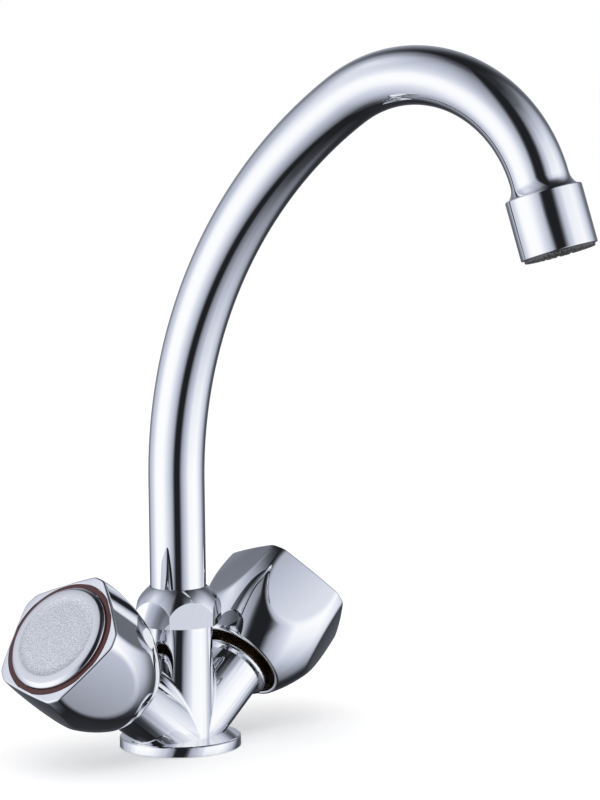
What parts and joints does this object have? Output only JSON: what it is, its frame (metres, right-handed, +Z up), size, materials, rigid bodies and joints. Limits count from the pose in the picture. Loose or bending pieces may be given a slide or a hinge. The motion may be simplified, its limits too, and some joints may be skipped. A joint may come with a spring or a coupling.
{
  "type": "kitchen mixer tap",
  "caption": "Deck mounted kitchen mixer tap: a swivelling swan neck spout with an aerator, and faceted metal knobs for hot and cold on slanting arms.",
  "frame": {"origin": "centre of the foot's underside, on the deck", "axes": "+Z up along the column; -Y to the front, where the square spout points; hot valve on -X, cold valve on +X"},
  "size_m": [0.1634, 0.205, 0.275],
  "materials": {
    "chrome_casting": "polished",
    "chrome_spout": "polished",
    "chrome_knob": "polished",
    "chrome_aerator": "polished",
    "satin_cap": "satin, fine grain in the middle",
    "hot_ring": "glossy",
    "cold_ring": "glossy",
    "brass": "turned",
    "rubber": "matte",
    "fibre": "matte",
    "ceramic": "lapped",
    "white_plastic": "matte",
    "grey_plastic": "matte",
    "steel": "plain"
  },
  "bodies": {
    "tap_body": {"body_casting": "chrome_casting", "base_seal": "rubber", "spout_nut": "chrome_spout", "spout_slip_ring": "white_plastic", "hot_valve_housing": "brass", "hot_valve_washer": "fibre", "hot_fixed_disc": "ceramic", "hot_disc_seal": "rubber", "cold_valve_housing": "brass", "cold_valve_washer": "fibre", "cold_fixed_disc": "ceramic", "cold_disc_seal": "rubber"},
    "spout": {"spout_tube": "chrome_spout", "spout_tail": "brass", "spout_seals": "rubber", "spout_outlet": "chrome_aerator", "aerator_housing": "chrome_aerator", "aerator_washer": "rubber", "aerator_core": "grey_plastic", "aerator_screen": "steel"},
    "hot_handle": {"hot_knob": "chrome_knob", "hot_spline_bush": "white_plastic", "hot_knob_screw": "steel", "hot_index_ring": "hot_ring", "hot_index_cap": "satin_cap", "hot_spindle": "brass", "hot_spindle_seal": "rubber", "hot_spindle_clip": "steel", "hot_thrust_washer": "white_plastic", "hot_moving_disc": "ceramic"},
    "cold_handle": {"cold_knob": "chrome_knob", "cold_spline_bush": "white_plastic", "cold_knob_screw": "steel", "cold_index_ring": "cold_ring", "cold_index_cap": "satin_cap", "cold_spindle": "brass", "cold_spindle_seal": "rubber", "cold_spindle_clip": "steel", "cold_thrust_washer": "white_plastic", "cold_moving_disc": "ceramic"}
  },
  "joints": [
    {"name": "spout_swivel", "type": "hinge", "parent": "tap_body", "child": "spout", "pos_m": [0, 0, 0.0555], "axis": [0, 0, 1], "continuous": true},
    {"name": "hot_handle_turn", "type": "hinge", "parent": "tap_body", "child": "hot_handle", "pos_m": [0, 0, 0.0028], "axis": [-0.7986, 0, 0.6018], "range_deg": [0, 90]},
    {"name": "cold_handle_turn", "type": "hinge", "parent": "tap_body", "child": "cold_handle", "pos_m": [0, 0, 0.0028], "axis": [0.7986, 0, 0.6018], "range_deg": [0, 90]}
  ]
}
